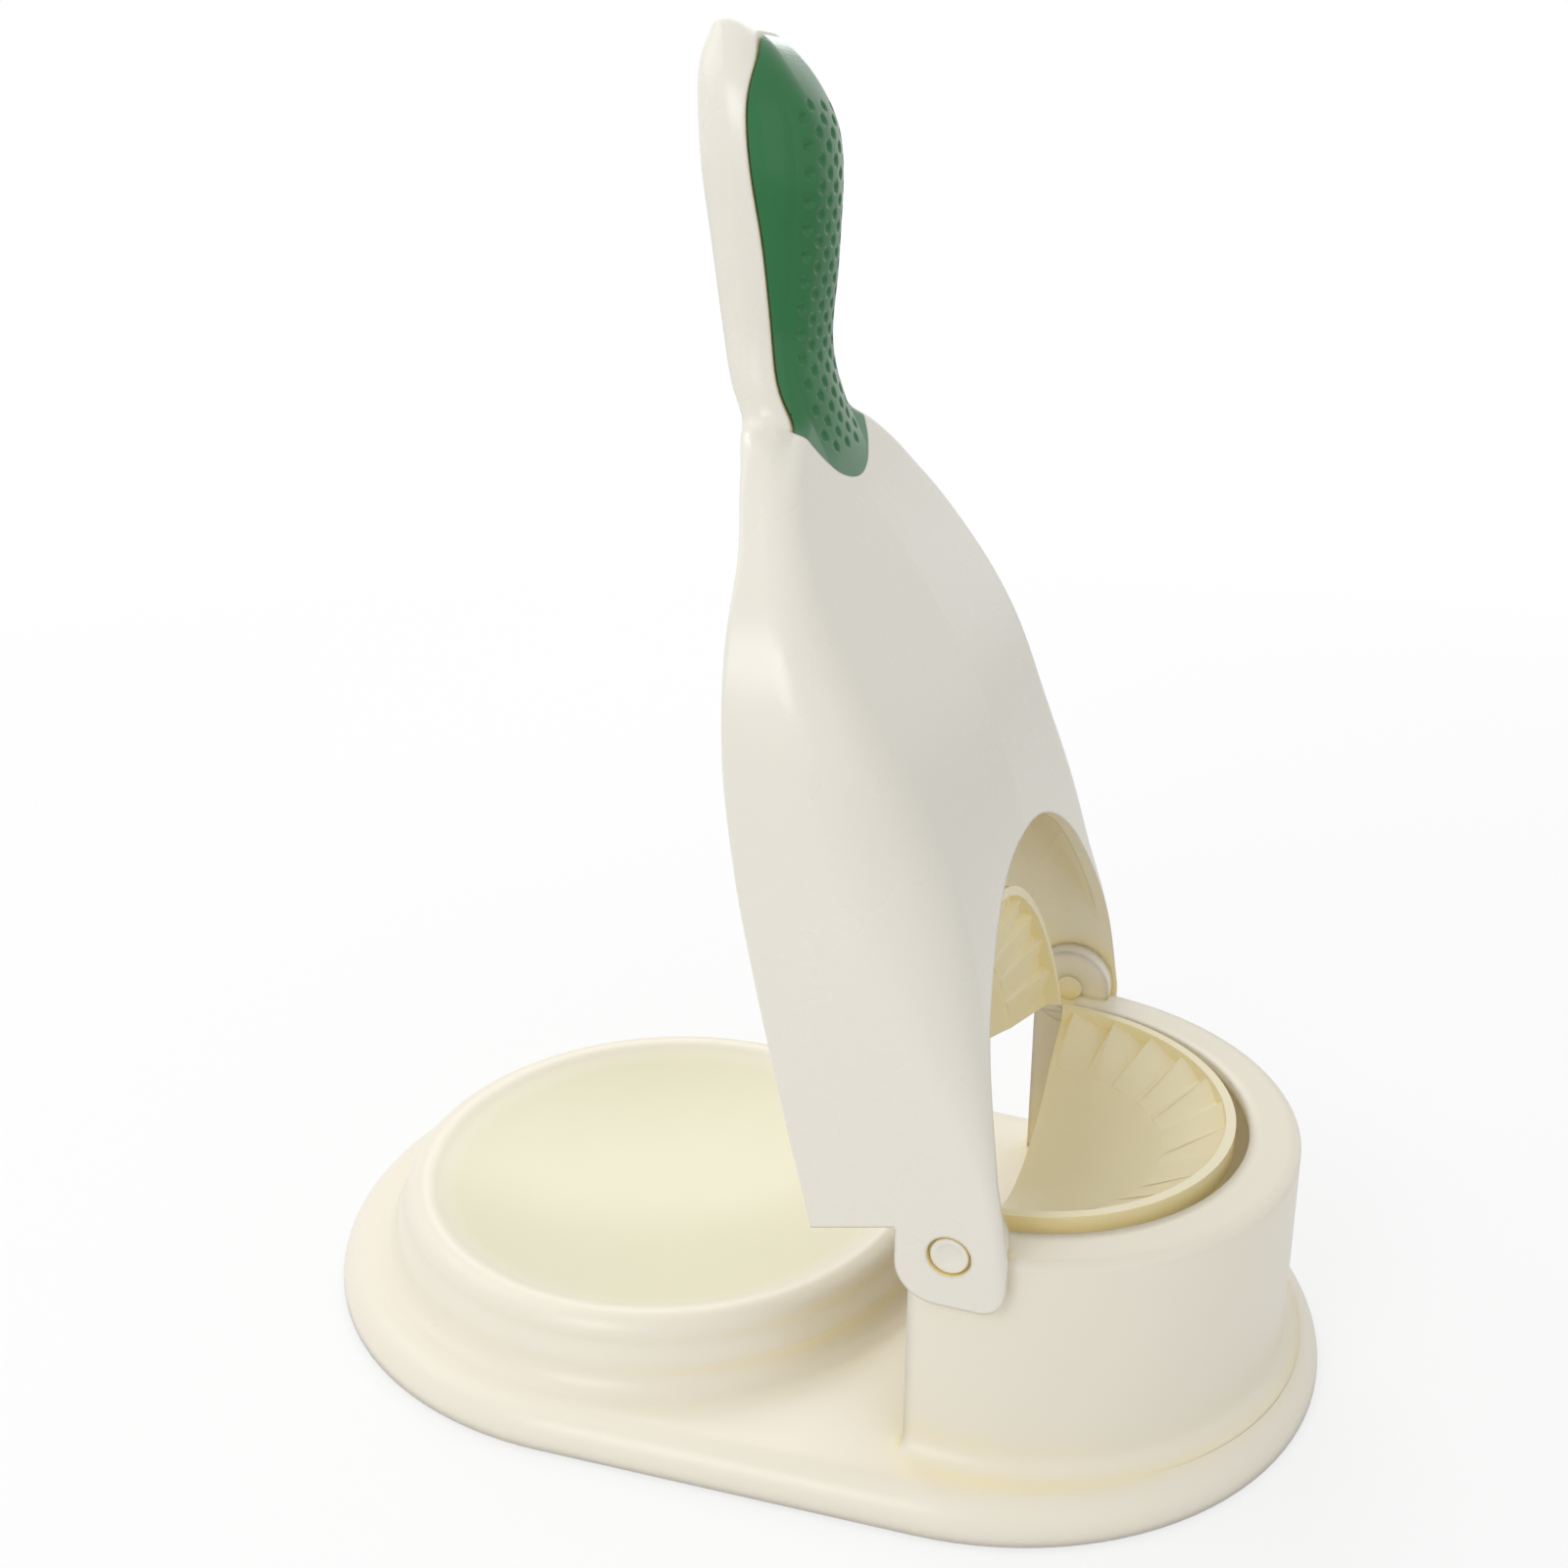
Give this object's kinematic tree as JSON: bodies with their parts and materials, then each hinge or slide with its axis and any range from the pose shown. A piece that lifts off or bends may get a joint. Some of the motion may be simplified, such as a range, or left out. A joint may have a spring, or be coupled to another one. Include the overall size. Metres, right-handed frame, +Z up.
{
  "type": "dumpling maker",
  "caption": "Hand dumpling maker: a shallow pressing dish and a half-round pleating mould share an oval base, and a hooded lever with an inset grip presses wrappers and folds the mould shut.",
  "frame": {"origin": "on the table under the middle of the oval base", "axes": "+Z up, +X from the dish towards the mould drum, +Y along the lever's hinge axis, away from the picture's viewer"},
  "size_m": [0.2138, 0.1452, 0.2536],
  "materials": {
    "base_plastic": "smooth warm ivory moulding, soft gloss",
    "mould_plastic": "smooth warm ivory moulding, soft gloss",
    "lever_plastic": "smooth off-white moulding, soft gloss",
    "pin_plastic": "smooth ivory moulding",
    "grip_plastic": "glossy green, dimpled on the front",
    "foot_rubber": "pale matt rubber",
    "screw_steel": "plated steel"
  },
  "bodies": {
    "base": {"base_shell": "base_plastic", "lower_mould": "mould_plastic", "lower_mould_screws": "screw_steel", "pivot_pin_near": "pin_plastic", "pivot_pin_far": "pin_plastic", "foot_dish_near": "foot_rubber", "foot_dish_far": "foot_rubber", "foot_drum_near": "foot_rubber", "foot_drum_far": "foot_rubber"},
    "lever": {"lever_shell": "lever_plastic", "grip_insert": "grip_plastic", "press_plate": "lever_plastic", "press_plate_screws": "screw_steel", "upper_mould": "mould_plastic", "upper_mould_screws": "screw_steel"}
  },
  "joints": [
    {"name": "lever_swing", "type": "hinge", "parent": "base", "child": "lever", "pos_m": [0.04415, 0, 0.0526], "axis": [0, 1, 0], "range_deg": [-80, 100]}
  ]
}
